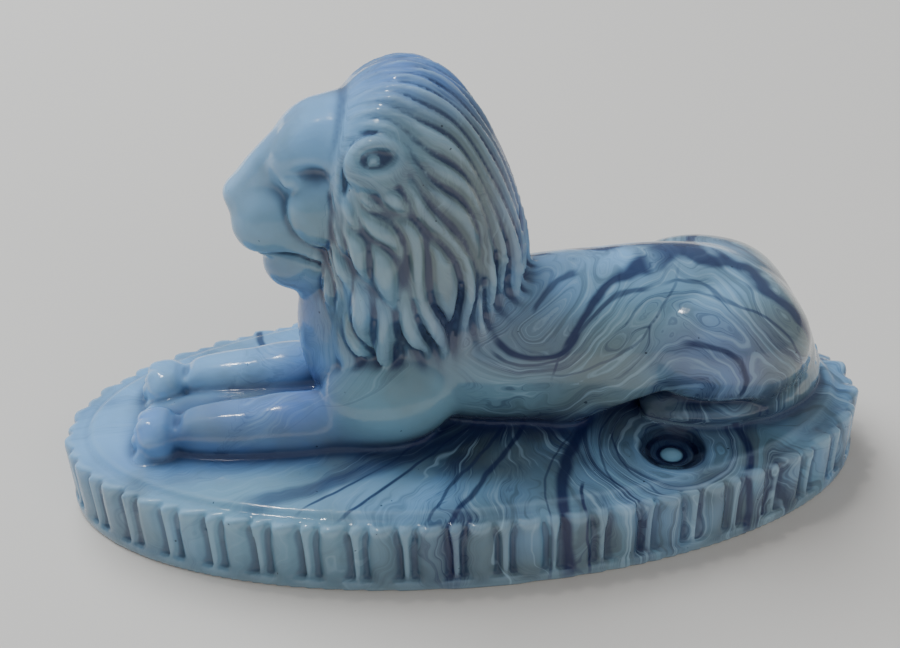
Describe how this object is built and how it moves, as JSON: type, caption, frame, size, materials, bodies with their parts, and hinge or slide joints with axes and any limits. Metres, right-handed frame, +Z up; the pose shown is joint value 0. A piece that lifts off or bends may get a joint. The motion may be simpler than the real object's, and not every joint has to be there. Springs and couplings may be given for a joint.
{
  "type": "glass lion paperweight",
  "caption": "Solid pressed glass paperweight shaped as a lion lying with its head up on an oval ribbed plinth, in marbled blue glass",
  "frame": {"origin": "centre of the oval plinth's underside", "axes": "+Z up; the lion looks along -X, so the plinth's long axis is X; the lion's left side and its tail are towards -Y"},
  "size_m": [0.14, 0.066, 0.0757],
  "materials": {
    "marbled_glass": "glossy opaque marbled slag glass"
  },
  "bodies": {
    "root": {"lion_paperweight": "marbled_glass"}
  },
  "joints": []
}
